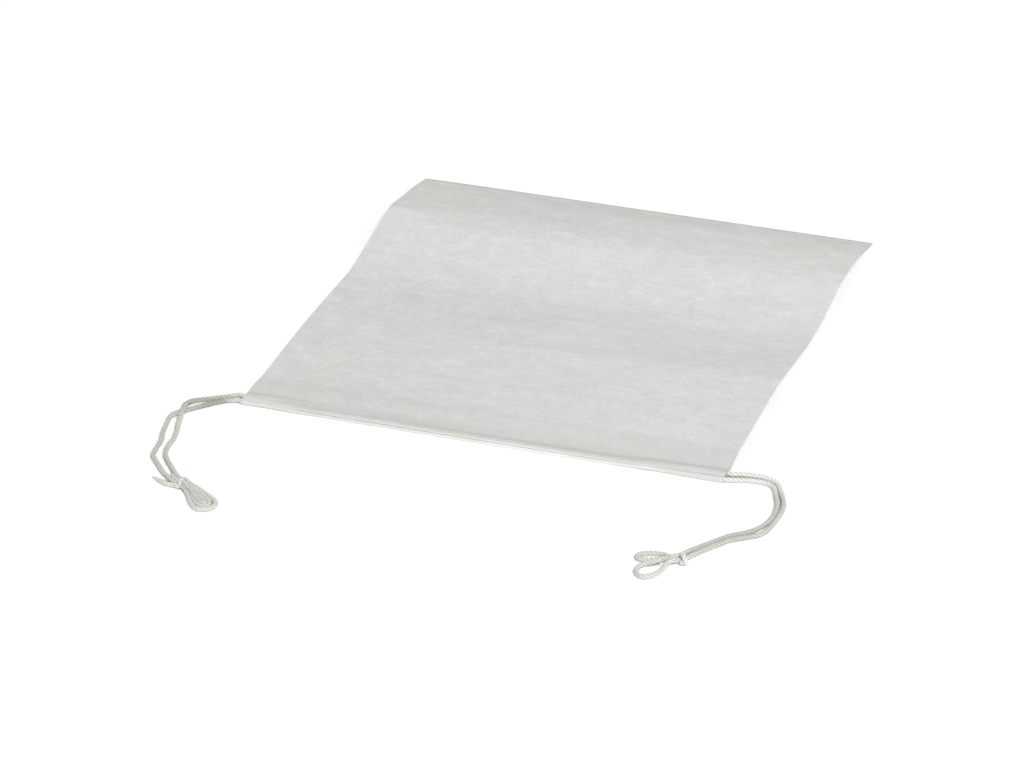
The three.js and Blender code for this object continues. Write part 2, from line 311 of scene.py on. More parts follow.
def make_paper():
    """Thin fibrous filter paper: a fine felt of short fibres, with faint streaks along the hem."""
    material, tree, shader, coordinates = new_material("filter_paper", PAPER_ROUGHNESS)
    place = coordinates.outputs["Object"]
    noises = {
        name: noise(tree, stretched(tree, place, turn, stretch), 1, detail, roughness)
        for name, (turn, stretch, detail, roughness) in PAPER_NOISES.items()
    }
    colour = paper_tone(tree, place, noises["clouds"])
    for name, low, high, share, tone in PAPER_FIBRES:
        colour = mix_colour(tree, remap(tree, noises[name], low, high, 0, share), colour, tone)
    colour = mix_colour(tree, speck_share(tree, place), colour, PAPER_SPECK)
    # Painted shade on the hem roll and in the crease behind it
    colour = mix_colour(tree, seam_shade_share(tree, place, noises["seam wander"]), colour, PAPER_SEAM_SHADE)
    # Painted light along the hem's front
    colour = mix_colour(tree, front_painted_light_share(tree, place), colour, PAPER_FRONT_PAINTED_LIGHT)
    tree.links.new(colour, shader.inputs["Base Color"])
    normal = None
    for name, strength, height in PAPER_RELIEF:
        normal = bump(tree, noises[name], strength, height, normal)
    tree.links.new(normal, shader.inputs["Normal"])
    return material


def paper_tone(tree, place, clouds):
    """The paper without its fibres: cloudy warm patches at the front and back, and painted shade that greys
    it towards the left.
    """
    clouds = remap(tree, clouds, *CLOUD_RANGE)
    colour = PAPER_NEUTRAL
    for stops, slant in ((WARMTH_AT_FRONT, WARMTH_SLANT_AT_FRONT), (WARMTH_AT_BACK, 0)):
        warmth = math_node(tree, "MULTIPLY", clouds, share_along(tree, place, stops, slant))
        colour = mix_colour(tree, warmth, colour, PAPER_WARM)
    side = HALF_WIDTH * MM
    left_share = remap(tree, coordinate(tree, place, "X"), side, -side, 0, LEFT_SHADE_SHARE)
    return mix_colour(tree, left_share, colour, PAPER_LEFT_SHADE)


def share_along(tree, place, stops, slant=0):
    """A share that changes with the distance behind the seam line, or behind a line that slants from it."""
    first, last = stops[0][0], stops[-1][0]
    from_left = math_node(tree, "ADD", coordinate(tree, place, "X"), HALF_WIDTH * MM)
    slanted = math_node(tree, "MULTIPLY", from_left, slant)
    behind = math_node(tree, "ADD", coordinate(tree, place, "Y"), slanted)
    across = remap(tree, behind, (SEAM_Y + first) * MM, (SEAM_Y + last) * MM, 0, 1, "LINEAR")
    curve = add_node(tree, "ShaderNodeValToRGB", Fac=across)
    marks = curve.color_ramp.elements
    while len(marks) < len(stops):
        marks.new(0.5)
    for mark, (distance, share) in zip(marks, stops):
        mark.position = (distance - first) / (last - first)
        mark.color = (share, share, share, 1)
    return curve.outputs["Color"]


def seam_shade_share(tree, place, wander):
    """How much the hem and the band behind it are darkened, fading into the sheet: mostly painted shade on
    the hem roll and in the crease behind it, partly the pressed seal's darker paper.
    """
    shift = add_node(tree, "ShaderNodeCombineXYZ", Y=remap(tree, wander, *SEAM_WANDER_RANGE))
    moved = tree.nodes.new("ShaderNodeVectorMath")
    moved.operation = "ADD"
    tree.links.new(place, moved.inputs[0])
    tree.links.new(shift.outputs["Vector"], moved.inputs[1])
    return share_along(tree, moved.outputs["Vector"], SEAM_SHADE_TONE)


SPECK_CELLS_PER_METRE = 150
SPECK_RADIUS_IN_CELLS = 0.026
SPECK_OUTER_RADIUS_IN_CELLS = 1.6 * SPECK_RADIUS_IN_CELLS
SPECK_RARITY = 0.72
SPECK_SHARE = 0.4


def speck_share(tree, place):
    """Sparse dark bits of plant fibre: one cell in a few holds a dot."""
    cells = add_node(tree, "ShaderNodeTexVoronoi", Vector=place, Scale=SPECK_CELLS_PER_METRE)
    near = remap(
        tree, cells.outputs["Distance"], SPECK_OUTER_RADIUS_IN_CELLS, SPECK_RADIUS_IN_CELLS, 0, SPECK_SHARE)
    parts = add_node(tree, "ShaderNodeSeparateColor", Color=cells.outputs["Color"])
    chosen = math_node(tree, "GREATER_THAN", parts.outputs["Red"], SPECK_RARITY)
    return math_node(tree, "MULTIPLY", near, chosen)


# The painted light on the hem's front edge: where it begins and is full behind the seam line, and where it
# ends along the hem
EDGE_BEGINS, EDGE_FULL = -1.7, -2.35
EDGE_ENDS_AT, EDGE_FULL_UP_TO = 40, 26
EDGE_LIGHT_SHARE = 0.32


def front_painted_light_share(tree, place):
    """Painted light along the hem's front, standing in for the white table's light through the thin paper,
    but not at its round right end.
    """
    pressed = remap(tree, coordinate(tree, place, "X"), EDGE_ENDS_AT * MM, EDGE_FULL_UP_TO * MM, 0, 1)
    begins, full = (SEAM_Y + EDGE_BEGINS) * MM, (SEAM_Y + EDGE_FULL) * MM
    near_front = remap(tree, coordinate(tree, place, "Y"), begins, full, 0, EDGE_LIGHT_SHARE)
    return math_node(tree, "MULTIPLY", near_front, pressed)


CORD_LIGHT = srgb(241, 241, 237)
CORD_GREY = srgb(150, 151, 143)
CORD_WARM = srgb(208, 205, 190)
CORD_SHADE = srgb(160, 160, 151)


CORD_ROUGHNESS = 0.95
YARN_TURN = 38
YARN_STRETCH = (1.6, 11, 1)
FLUFF_SCALE = 2200
PATCH_SCALE = 160

# Marks on the cotton, as the two values of a noise between which they rise and their least and greatest share
PATCH_RANGE = (0.5, 0.68, 0, 0.5)
YARN_RANGE = (0.48, 0.72, 0, 0.42)
FLUFF_RANGE = (0.48, 0.3, 0, 0.3)

# Relief, as (strength, height in millimetres)
YARN_RELIEF = (0.6, 0.07)
FLUFF_RELIEF = (0.4, 0.06)

CORD_SHEEN = 0.1
SUBSURFACE_SHARE = 0.7
SUBSURFACE_DEPTH = 0.6


def attribute_value(tree, name):
    node = tree.nodes.new("ShaderNodeAttribute")
    node.attribute_name = name
    return node.outputs["Fac"]


def make_cord_material():
    """Undyed twisted cotton: fine fibres wind round each ply, and painted shade greys the grooves between
    plies.
    """
    material, tree, shader, coordinates = new_material("cotton_cord", CORD_ROUGHNESS)
    place = coordinates.outputs["Object"]
    fine_yarn = noise(tree, stretched(tree, coordinates.outputs["UV"], YARN_TURN, YARN_STRETCH), 1, 4, 0.75)
    fluff = noise(tree, place, FLUFF_SCALE, 4, 0.8)
    patches = remap(tree, noise(tree, place, PATCH_SCALE, 3), *PATCH_RANGE)
    colour = mix_colour(tree, attribute_value(tree, "lightness"), CORD_GREY, CORD_LIGHT)
    colour = mix_colour(tree, patches, colour, CORD_WARM)
    colour = mix_colour(tree, remap(tree, fine_yarn, *YARN_RANGE), colour, CORD_SHADE)
    colour = mix_colour(tree, remap(tree, fluff, *FLUFF_RANGE), colour, CORD_LIGHT)
    # Painted shade in the grooves between plies
    colour = mix_colour(tree, attribute_value(tree, "groove"), colour, CORD_SHADE)
    tree.links.new(colour, shader.inputs["Base Color"])
    normal = bump(tree, fluff, *FLUFF_RELIEF, bump(tree, fine_yarn, *YARN_RELIEF))
    tree.links.new(normal, shader.inputs["Normal"])
    shader.inputs["Sheen Weight"].default_value = CORD_SHEEN
    shader.inputs["Subsurface Weight"].default_value = SUBSURFACE_SHARE
    shader.inputs["Subsurface Radius"].default_value = (1, 1, 1)
    shader.inputs["Subsurface Scale"].default_value = SUBSURFACE_DEPTH * MM
    return material


# The pouch: one strip that runs round the front tunnel, along the lower ply, round the bottom fold,
# back along the upper ply and round the back tunnel

PAPER_THICKNESS = 0.07
PLY_GAP = 0.22
SEAL_GAP = 0.015
SIDE_SEAL = 4.0
ACROSS_STEP = 0.75
ALONG_STEP = 0.75
RIM = 0.03

# Height of the upper face at the left and right edges, at places along the paper behind the seam
SHEET_PLACES = [
    0, 1.2, 3.5, 9, 16, 23, 30, 33.5, 38, 44, 50, 54.5, 57, 62, 67, 72, 75.5, 77.2, 78.6, 84, 90,
    SHEET_LENGTH,
]
LEFT_HEIGHTS = [
    0.8, 0.88, 1.05, 0.75, 0.85, 1.0, 1.03, 1.01, 0.93, 0.78, 0.52, 0.47, 0.7, 1.32, 2.05, 2.95, 3.5, 3.75,
    3.5, 2.65, 1.8, 0.35,
]
RIGHT_HEIGHTS = [
    0.82, 0.95, 1.4, 1.6, 1.85, 2.15, 2.45, 2.55, 2.15, 1.5, 0.9, 0.75, 0.82, 1.15, 1.75, 2.55, 3.05, 3.22,
    3.12, 2.75, 2.2, 0.4,
]

# Outlines of the hem, as (distance behind the seam line, height): pressed flat in the middle, where the back
# tunnel lies over the front one, and open at the bag's ends. The open front tunnel is drawn round its own
# middle, round on top and with a foot of paper on the table
FRONT_TUNNEL_PRESSED = [
    (-1.0, 0.12), (-1.08, 0.34), (-1.4, 0.54), (-1.8, 0.58), (-2.08, 0.5), (-2.24, 0.3), (-2.34, 0.07),
    (-2.1, 0.035), (-1.2, 0.04),
]
FRONT_TUNNEL_OPEN = [
    (0.3, 0.15), (0.46, 0.35), (0.5, 0.55), (0.42, 0.82), (0.2, 1.01), (0, 1.04), (-0.22, 0.99), (-0.42, 0.8),
    (-0.52, 0.55), (-0.6, 0.3), (-0.7, 0.08), (-0.5, 0.035), (-0.07, 0.035),
]
BACK_TUNNEL_PRESSED = [
    (-0.55, 0.86), (-0.95, 0.94), (-1.35, 0.94), (-1.75, 0.87), (-2.1, 0.77), (-2.26, 0.68), (-2.1, 0.65),
    (-1.7, 0.67), (-1.3, 0.63), (-1.02, 0.42), (-0.7, 0.2), (-0.2, 0.18),
]
BACK_TUNNEL_FRONT_EDGE = -1.15
BACK_TUNNEL_MIDDLE_HEIGHT = 0.79
BACK_TUNNEL_HALF_HEIGHT = 0.5
BACK_TUNNEL_ARC = (14, 335)
RAW_EDGE_FROM_SEAM = (-0.25, -0.22)
FULL_SHIFT_DISTANCE = 1.5
PRESSED_LINE_HEIGHT = 0.02
PRESSED_LINES = (5, 3, 5)
TUNNEL_POINTS = 26

# How the hem wanders along the bag, as measured: how far its front edge and its back seam lie further
# back than the straight line of the seam, and how flat it is pressed
HEM_PLACES = [-45, -40, -35, -29, -24, -17, -10, -2, 5, 12, 20, 28, 34, 40, 45]
FRONT_SHIFT = [0.45, 0.45, 0.42, 0.42, 0.4, 0.38, 0.25, 0.2, 0.12, 0.12, 0.15, 0.15, 0.05, 0, 0]
BACK_SEAM = [1.2, 1.6, 1.7, 1.35, 1.0, 0.85, 0.6, 0.4, 0.5, 0.6, 0.6, 0.65, 0.8, 0.75, 0.7]
PRESSED = [0.3, 0.55, 0.85, 1, 1, 1, 1, 1, 1, 1, 1, 0.85, 0.5, 0.3, 0.2]


# Heights of the strings' middles at the open ends and where the hem is pressed, and where they lie there
FRONT_STRING_HEIGHTS = (0.56, 0.31)
BACK_STRING_HEIGHTS = (0.78, 0.55)
FRONT_STRING_PRESSED_SHIFT = 0.05
BACK_STRING_PRESSED_PLACE = -0.45


def hem_value(values, x):
    return float(smooth_line(HEM_PLACES, values, np.array([float(x)]))[0])


def place_in_hem(x, is_front):
    """Middle of one of the strings in the hem."""
    pressed = hem_value(PRESSED, x)
    if is_front:
        behind = FRONT_TUNNEL[0] + hem_value(FRONT_SHIFT, x) + FRONT_STRING_PRESSED_SHIFT * pressed
        return [x, SEAM_Y + behind, mix(*FRONT_STRING_HEIGHTS, pressed)]
    open_place = (hem_value(BACK_SEAM, x) + BACK_TUNNEL_FRONT_EDGE) / 2
    behind = mix(open_place, BACK_STRING_PRESSED_PLACE, pressed)
    return [x, SEAM_Y + behind, mix(*BACK_STRING_HEIGHTS, pressed)]


def even_points(points, count):
    """Evenly spaced points on a smooth line through the given ones."""
    points = np.asarray(points, float)
    lengths = distances_along(points)
    curve = smooth_line(lengths, points, np.linspace(0, lengths[-1], 200))
    lengths = distances_along(curve)
    wanted = np.linspace(0, lengths[-1], count)
    return np.column_stack([np.interp(wanted, lengths, curve[:, k]) for k in range(2)])


def oval(centre, half_depth, half_height, from_degrees, to_degrees):
    angles = np.radians(np.linspace(from_degrees, to_degrees, 60))
    depths = centre[0] + half_depth * np.cos(angles)
    return np.column_stack([depths, centre[1] + half_height * np.sin(angles)])


def front_tunnel_loop(x):
    """From the raw edge behind the front string, over it and down to the table under it."""
    open_end = even_points(FRONT_TUNNEL_OPEN, TUNNEL_POINTS) + [FRONT_TUNNEL[0], 0]
    flat = even_points(FRONT_TUNNEL_PRESSED, TUNNEL_POINTS)
    return mix(open_end, flat, hem_value(PRESSED, x)) + [hem_value(FRONT_SHIFT, x), 0]


def back_tunnel_loop(x, seam_point):
    """From the seam behind the back string, over the strings and back under, to the raw edge."""
    centre = ((seam_point[0] + BACK_TUNNEL_FRONT_EDGE) / 2, BACK_TUNNEL_MIDDLE_HEIGHT)
    half_depth = (seam_point[0] - BACK_TUNNEL_FRONT_EDGE) / 2
    open_end = oval(centre, half_depth, BACK_TUNNEL_HALF_HEIGHT, *BACK_TUNNEL_ARC)
    shift = hem_value(FRONT_SHIFT, x)
    shifted = [(y + shift * min(1, max(0, -y / FULL_SHIFT_DISTANCE)), z) for y, z in BACK_TUNNEL_PRESSED]
    raw_edge = tuple(seam_point + RAW_EDGE_FROM_SEAM)
    flat = even_points([tuple(seam_point)] + shifted + [raw_edge], TUNNEL_POINTS)
    loop = mix(even_points(open_end, TUNNEL_POINTS), flat, hem_value(PRESSED, x))
    across, around = np.full(TUNNEL_POINTS, float(x)), np.arange(TUNNEL_POINTS) * 1.0
    lines = PRESSED_LINE_HEIGHT * ripple(across, around, *PRESSED_LINES)
    loop[:, 1] += lines * np.sin(np.linspace(0, math.pi, TUNNEL_POINTS))
    return loop[1:]


# The ridge near the bottom fold is crisp at the side edges and softer between them
RIDGE_PLACE = 78
RIDGE_BAND = 9
RIDGE_REACHES = (-5.5, -3.5, -1.5, 0, 1.5, 3.5, 5.5)

# Waves of the upper face, as (height, cell across, cell along, seed)
SWELL = (0.16, 26, 15, 1)
CRINKLES = [(0.05, 15, 4.5, 2), (0.022, 8, 1.9, 3)]
SIDE_BAND = 12
CALM_BAND = 6
HEM_SAG = 0.3
HEM_SAG_PLACE = 2.6
LOWEST_TOP = 0.42


def edge_mix(along, share):
    """Height between the left edge, share 0, and the right edge, share 1."""
    left = smooth_line(SHEET_PLACES, LEFT_HEIGHTS, along)
    right = smooth_line(SHEET_PLACES, RIGHT_HEIGHTS, along)
    return mix(left, right, share)


def waves(along, x, height, cell_x, cell_y, seed):
    return height * ripple(x, along, cell_x, cell_y, seed)


def sheet_height(along, x):
    """Height of the sheet's upper face, with the wave of the edges and a few softer swells between them."""
    share = (x / HALF_WIDTH + 1) / 2
    inland = np.clip((HALF_WIDTH - np.abs(x)) / SIDE_BAND, 0, 1)
    crisp = edge_mix(along, share)
    reaches = [np.clip(along + reach, 0, SHEET_LENGTH) for reach in RIDGE_REACHES]
    soft = sum(edge_mix(place, share) for place in reaches) / len(RIDGE_REACHES)
    height = mix(crisp, soft, np.exp(-((along - RIDGE_PLACE) / RIDGE_BAND) ** 2) * inland)
    calm = np.clip(along / CALM_BAND, 0, 1) * np.clip((SHEET_LENGTH - along) / CALM_BAND, 0, 1)
    sag_at_hem = HEM_SAG * inland * np.exp(-((along - HEM_SAG_PLACE) / HEM_SAG_PLACE) ** 2)
    crinkle = sum(waves(along, x, *wave) for wave in CRINKLES)
    fine = (waves(along, x, *SWELL) * inland + crinkle) * calm + fine_wrinkles(along, x)
    return np.maximum(height - sag_at_hem + fine, LOWEST_TOP)


# Groups of fine parallel wrinkles, as (x, distance behind the seam line, half width, half depth)
WRINKLE_GROUPS = [(-25.5, 45.5, 5.0, 2.2), (-30.0, 35.5, 3.5, 1.6), (24.0, 30.0, 6.0, 2.0)]
WRINKLE_SPACING = 1.3
WRINKLE_HEIGHT = 0.03
WRINKLE_LEAN = 0.12
WRINKLE_WANDER = (0.4, 4, 4, 8)


def fine_wrinkles(along, x):
    total = np.zeros_like(along)
    for centre_x, centre_y, half_width, half_depth in WRINKLE_GROUPS:
        fade = np.exp(-((x - centre_x) / half_width) ** 2 - ((along - centre_y) / half_depth) ** 2)
        lean = WRINKLE_LEAN * (x - centre_x) + waves(along, x, *WRINKLE_WANDER)
        total += WRINKLE_HEIGHT * fade * np.sin(2 * math.pi * (along - lean) / WRINKLE_SPACING)
    return total


def laid_depths(along, height):
    """Depth of each place when the paper keeps its length over its waves."""
    rise = np.diff(height)
    step = np.diff(along)
    return np.concatenate([[0], np.cumsum(np.sqrt(np.maximum(step ** 2 - rise ** 2, 0)))])


# How the lower ply comes down to the table near the hem, and where it meets the front tunnel
LANDING_LENGTH = 9
LANDING_POWER = 1.5
UNDER_TUNNEL = 0.3
UNDER_SEAM = -0.4
FOLD_BULGE = 0.2


def strip_line(x):
    """The strip's middle line at one place across the bag, as depths behind the seam and heights."""
    whole = np.linspace(0, SHEET_LENGTH, int(SHEET_LENGTH / ALONG_STEP) + 1)
    upper_whole = sheet_height(whole, np.full_like(whole, x)) - PAPER_THICKNESS / 2
    depth_whole = laid_depths(whole, upper_whole)
    seam_y = hem_value(BACK_SEAM, x)
    upper_y = seam_y + (depth_whole[-1] - seam_y) * whole / SHEET_LENGTH
    upper_z = np.interp(upper_y, depth_whole, upper_whole)
    from_edge = np.clip((HALF_WIDTH - abs(x)) / SIDE_SEAL, 0, 1)
    gap = PAPER_THICKNESS + SEAL_GAP + PLY_GAP * ease(from_edge)
    table = PAPER_THICKNESS / 2
    near_hem = np.clip(1 - depth_whole / LANDING_LENGTH, 0, 1) ** LANDING_POWER
    lower_z = np.maximum(mix(upper_whole - gap, table, near_hem), table)
    front = front_tunnel_loop(x)
    back = back_tunnel_loop(x, np.array([upper_y[0], upper_z[0]]))
    under_y = np.linspace(front[-1, 0] + UNDER_TUNNEL, UNDER_SEAM, 3)
    under_z = np.full_like(under_y, table)
    fold_y = [depth_whole[-1] + gap * FOLD_BULGE]
    fold_z = [(upper_z[-1] + lower_z[-1]) / 2]
    y = np.concatenate([front[:, 0], under_y, depth_whole, fold_y, upper_y[::-1], back[:, 0]])
    z = np.concatenate([front[:, 1], under_z, lower_z, fold_z, upper_z[::-1], back[:, 1]])
    return y, z


def paper_sides(middle):
    """Both faces of the paper round its middle surface, as one list of points."""
    normals = np.cross(np.gradient(middle, axis=0), np.gradient(middle, axis=1))
    normals /= np.linalg.norm(normals, axis=2, keepdims=True)
    half = PAPER_THICKNESS / 2
    outside = (middle - normals * half).reshape(-1, 3)
    inside = (middle + normals * half).reshape(-1, 3)
    points = np.concatenate([outside, inside])
    points[:, 2] = np.maximum(points[:, 2], 0)
    return points


def paper_faces(columns, rows):
    """Faces of both sides of the paper, and those of its cut edges."""
    def at(i, j, side):
        return side * columns * rows + i * rows + j

    sheet, edges = [], []
    for i in range(columns - 1):
        for j in range(rows - 1):
            sheet.append((at(i, j, 0), at(i, j + 1, 0), at(i + 1, j + 1, 0), at(i + 1, j, 0)))
            sheet.append((at(i, j, 1), at(i + 1, j, 1), at(i + 1, j + 1, 1), at(i, j + 1, 1)))
    last = columns - 1
    for j in range(rows - 1):
        edges.append((at(0, j, 0), at(0, j, 1), at(0, j + 1, 1), at(0, j + 1, 0)))
        edges.append((at(last, j, 0), at(last, j + 1, 0), at(last, j + 1, 1), at(last, j, 1)))
    end = rows - 1
    for i in range(columns - 1):
        edges.append((at(i, 0, 0), at(i + 1, 0, 0), at(i + 1, 0, 1), at(i, 0, 1)))
        edges.append((at(i, end, 0), at(i, end, 1), at(i + 1, end, 1), at(i + 1, end, 0)))
    return sheet, edges


def make_pouch(paper):
    inner = np.linspace(RIM - HALF_WIDTH, HALF_WIDTH - RIM, int(2 * HALF_WIDTH / ACROSS_STEP))
    middle = []
    for x in [-HALF_WIDTH, *inner, HALF_WIDTH]:
        y, z = strip_line(x)
        middle.append(np.column_stack([np.full_like(y, x), y + SEAM_Y, z]))
    middle = np.array(middle)
    sheet, edges = paper_faces(middle.shape[0], middle.shape[1])
    pouch = new_mesh("pouch_paper", paper_sides(middle), sheet + edges, paper)
    smooth = [True] * len(sheet) + [False] * len(edges)
    pouch.data.polygons.foreach_set("use_smooth", smooth)
    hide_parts("filter_pouch")


# Cords: routes as [outwards from the hem's end, back from the seam line, cord diameters over the floor]

LEFT_BACK_STRAND = [
    [1.0, -0.15, 0.38], [2.2, -0.6, 0.3], [3.4, -1.2, 0.2], [4.9, -1.9, 0.1], [6.2, -2.5, 0],
    [7.4, -3.2, 0], [8.3, -3.9, 0.05], [8.8, -5.2, 0.35], [8.6, -7.6, 1.05], [8.2, -9.4, 1.2],
    [7.9, -11.0, 1.15], [7.6, -12.2, 0.85], [7.5, -13.4, 0.4], [7.1, -14.8, 0.05], [6.7, -16.7, 0],
    [6.4, -18.3, 0], [6.4, -19.9, 0], [6.3, -21.5, 0], [6.0, -23.0, 0], [5.3, -24.8, 0],
    [4.1, -26.6, 0], [2.8, -28.3, 0], [1.7, -29.8, 0.1], [0.8, -31.0, 0.25],
]
LEFT_FRONT_STRAND = [
    [0.9, -1.6, 0.15], [1.9, -1.85, 0.05], [3.0, -2.25, 0], [4.2, -3.2, 0], [5.5, -4.5, 0],
    [6.7, -5.7, 0], [7.5, -6.6, 0], [8.3, -7.6, 0], [9.0, -8.4, 0], [9.5, -9.1, 0], [10.0, -10.0, 0],
    [10.1, -11.0, 0], [9.9, -12.5, 0], [9.6, -14.2, 0], [9.3, -15.8, 0], [9.0, -17.2, 0],
    [8.5, -18.8, 0], [8.2, -20.4, 0], [8.1, -22.0, 0], [7.9, -23.5, 0], [7.75, -24.7, 0],
    [7.4, -25.5, 0], [6.7, -26.5, 0], [5.5, -28.0, 0], [4.3, -29.5, 0], [3.3, -30.7, 0],
    [1.9, -32.0, 0.2],
]
RIGHT_BACK_STRAND = [
    [0.9, -0.8, 0.6], [2.5, -0.4, 0.7], [4.2, 0.0, 0.7], [6.0, 0.2, 0.65], [7.7, 0.1, 0.5],
    [9.3, -0.6, 0.2], [10.3, -2.2, 0.05], [11.2, -4.2, 0], [12.2, -6.6, 0], [12.7, -9.1, 0],
    [12.7, -11.7, 0], [12.6, -14.2, 0], [12.2, -16.7, 0], [11.6, -18.5, 0], [10.5, -19.6, 0],
    [9.4, -20.4, 0], [8.3, -21.2, 0], [7.0, -22.3, 0], [6.0, -23.7, 0], [4.9, -25.2, 0],
    [4.0, -26.7, 0], [3.1, -28.2, 0], [2.4, -29.6, 0.1], [2.1, -30.4, 0.1],
]
RIGHT_FRONT_STRAND = [
    [1.2, -1.6, 0.05], [2.7, -1.1, 0], [4.3, -0.7, 0], [6.1, -0.6, 0], [7.7, -0.8, 0], [9.0, -1.7, 0],
    [9.7, -3.1, 0], [10.4, -4.9, 0], [11.2, -6.9, 0], [11.6, -8.8, 0], [11.8, -11.0, 0],
    [11.7, -13.3, 0], [11.2, -15.3, 0], [10.6, -16.7, 0], [9.8, -18.0, 0], [8.8, -19.1, 0],
    [7.7, -20.0, 0], [6.5, -21.1, 0], [5.4, -22.5, 0], [4.3, -24.1, 0], [3.4, -25.5, 0],
    [2.4, -27.0, 0], [1.7, -28.3, 0.2], [1.1, -29.9, 0.35],
]
RIGHT_UPPER_LOOP = [
    [-0.9, -31.3, 0.4], [-2.0, -30.7, 0.1], [-3.3, -30.6, 0], [-4.9, -31.1, 0], [-6.0, -31.8, 0],
    [-6.2, -32.6, 0], [-5.5, -33.3, 0], [-4.0, -33.2, 0], [-2.3, -32.7, 0.2], [-1.1, -32.3, 0.4],
]
RIGHT_LOWER_LOOP = [
    [-0.5, -33.4, 0.3], [-0.9, -35.8, 0], [-1.5, -37.4, 0], [-2.3, -38.5, 0], [-3.4, -38.9, 0],
    [-4.4, -38.2, 0], [-4.9, -37.1, 0], [-4.8, -35.8, 0.1], [-3.9, -34.9, 0.4], [-2.6, -34.5, 0.8],
    [-1.3, -33.9, 1.1],
]
LEFT_TAIL = [
    [-1.3, -34.7, 0.2], [-0.2, -34.3, 0.1], [1.0, -34.2, 0], [2.2, -33.8, 0], [3.5, -33.1, 0],
    [4.8, -32.3, 0],
]

# The strands' last turns, inside the knots, and one more strand that fills the left knot's wedge
LEFT_BACK_IN_KNOT = [[0.0, -32.0, 0.45], [-1.0, -33.2, 0.7], [-2.0, -34.3, 0.5]]
LEFT_FRONT_IN_KNOT = [[1.6, -32.5, 0.15], [0.5, -33.3, 0.25], [-0.8, -34.2, 0.4]]
LEFT_BOUND_STRAND = [
    [1.9, -30.9, 0.05], [1.2, -31.6, 0.15], [0.4, -32.5, 0.3], [-0.5, -33.5, 0.6], [-1.5, -34.3, 0.6],
]
RIGHT_BACK_IN_KNOT = [[1.7, -31.2, 0.1], [1.1, -31.8, 0.15], [0.1, -32.5, 0.3], [-0.6, -32.9, 0.3]]
RIGHT_FRONT_IN_KNOT = [[0.8, -30.7, 0.5], [0.0, -31.3, 0.5], [-0.8, -31.5, 0.4]]

ROPE_DIAMETER = 0.91
STRING_IN_HEM_DIAMETER = 0.42
ROPE_STEP = 0.12
ROPE_SIDES = 30
ROPE_PITCH = 2.4
ROPE_LOWEST = 0.004

# Plies of the rope: their radius and distance from its middle as shares of its radius
ROPE_PLIES = 3
PLY_RADIUS = 0.62
PLY_OFFSET = 0.38

# Uneven thickness: of the rope, as (share, cell along, seed), and of its plies, as (share, cell, seed)
ROPE_SWELL = (0.06, 2.1, 0)
PLY_LUMPS = (0.035, 0.5, 9)
# Share of painted shade in the deepest grooves between plies
GROOVE_SHADE = 0.6
ROUND_END = (0.35, 0.7, 0.9)
TIP_POWER = 0.7
TIP_THINNEST = 0.12

RUN_INTO_HEM = 1.0
EASE_LENGTH = 7
EASE_DEPTH = 6


def place_at_hem_end(place, side):
    outwards, back, lift = place
    return np.array([side * (HALF_WIDTH + outwards), SEAM_Y + back, CORD_RADIUS + lift * CORD_DIAMETER])


def resample(points, step):
    """Evenly spaced points on a smooth line in space, which takes its bends mostly where points are close."""
    points = np.asarray(points, float)
    spans = np.sqrt(np.linalg.norm(np.diff(points, axis=0), axis=1))
    knots = np.concatenate([[0], np.cumsum(spans)])
    dense = smooth_line(knots, points, np.linspace(0, knots[-1], 60 * len(points)))
    lengths = distances_along(dense)
    count = max(8, int(round(lengths[-1] / step)))
    wanted = np.linspace(0, lengths[-1], count + 1)
    return np.column_stack([np.interp(wanted, lengths, dense[:, k]) for k in range(3)])


def side_directions(line):
    """Two directions square to the line at each point, carried along it without twist."""
    tangents = np.gradient(line, axis=0)
    tangents /= np.linalg.norm(tangents, axis=1, keepdims=True)
    first = np.zeros_like(line)
    start = np.cross(tangents[0], [0, 0, 1.0])
    first[0] = start / np.linalg.norm(start)
    for i in range(1, len(line)):
        carried = first[i - 1] - tangents[i] * np.dot(first[i - 1], tangents[i])
        first[i] = carried / np.linalg.norm(carried)
    return first, np.cross(tangents, first)


def ply_reach(angle):
    """How far a ply's surface lies from the rope's middle, as a share of the rope's radius."""
    return PLY_OFFSET * np.cos(angle) + np.sqrt(PLY_RADIUS ** 2 - (PLY_OFFSET * np.sin(angle)) ** 2)


def rope_rings(line, radius, phase, seed, relief):
    """Rings of a rope of three plies round the line, and how deep each point lies in a groove."""
    first, second = side_directions(line)
    length = distances_along(line)
    angles = np.linspace(0, 2 * math.pi, ROPE_SIDES, endpoint=False)
    twist = phase + 2 * math.pi * length[:, None] / ROPE_PITCH
    lobe = 2 * math.pi / ROPE_PLIES
    from_ply = (angles[None, :] - twist + lobe / 2) % lobe - lobe / 2
    depth = 1 - ply_reach(from_ply)
    groove = relief * depth / (1 - ply_reach(lobe / 2))
    share, cell, own_seed = ROPE_SWELL
    swell = 1 + share * ripple(length, length * 0, cell, 1, seed + own_seed)[:, None]
    share, cell, own_seed = PLY_LUMPS
    along = length[:, None] * np.ones_like(groove)
    lumps = 1 + share * ripple(along, from_ply * ROPE_PLIES, cell, cell, seed + own_seed)
    spread = radius * (1 - relief * depth) * swell * lumps
    outwards = np.cos(angles)[None, :, None] * first[:, None, :]
    outwards = outwards + np.sin(angles)[None, :, None] * second[:, None, :]
    rings = line[:, None, :] + spread[..., None] * outwards
    return rings, groove, length, angles


def rope_taper(length, tip):
    """How thick the rope is along its length: rounded at both ends, and thinning towards a frayed tip."""
    taper = np.ones(len(length))
    for k, share in enumerate(ROUND_END):
        taper[k] = share
        taper[-1 - k] = share
    if tip:
        taper *= np.clip((length[-1] - length) / tip, TIP_THINNEST, 1) ** TIP_POWER
    return taper


